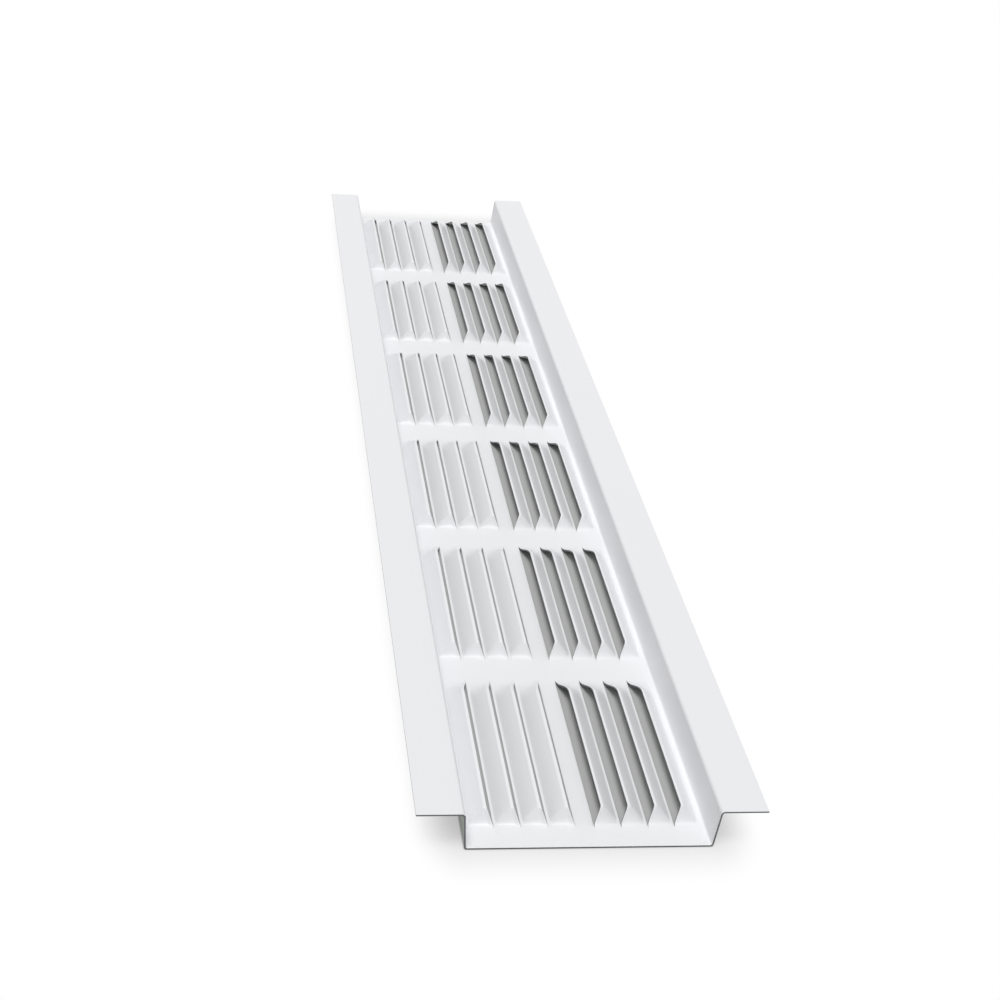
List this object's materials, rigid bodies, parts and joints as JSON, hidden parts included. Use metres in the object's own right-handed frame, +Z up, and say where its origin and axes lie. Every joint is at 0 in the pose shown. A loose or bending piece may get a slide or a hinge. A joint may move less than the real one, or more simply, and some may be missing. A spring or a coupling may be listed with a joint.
{
  "type": "soffit vent",
  "caption": "Folded white sheet-metal strip vent: a recessed pan pressed with rows of long louvres in two facing banks, and a flat fixing flange along each side.",
  "frame": {"origin": "underside of the pan, in the middle of the strip's width and length", "axes": "+Y along the strip, +X across it, +Z up from the pan to the flanges"},
  "size_m": [0.0934, 0.4572, 0.0119],
  "materials": {
    "white_enamel": "baked white enamel on thin aluminium sheet, satin, with bare cut edges"
  },
  "bodies": {
    "root": {"louvred_vent_strip": "white_enamel"}
  },
  "joints": []
}
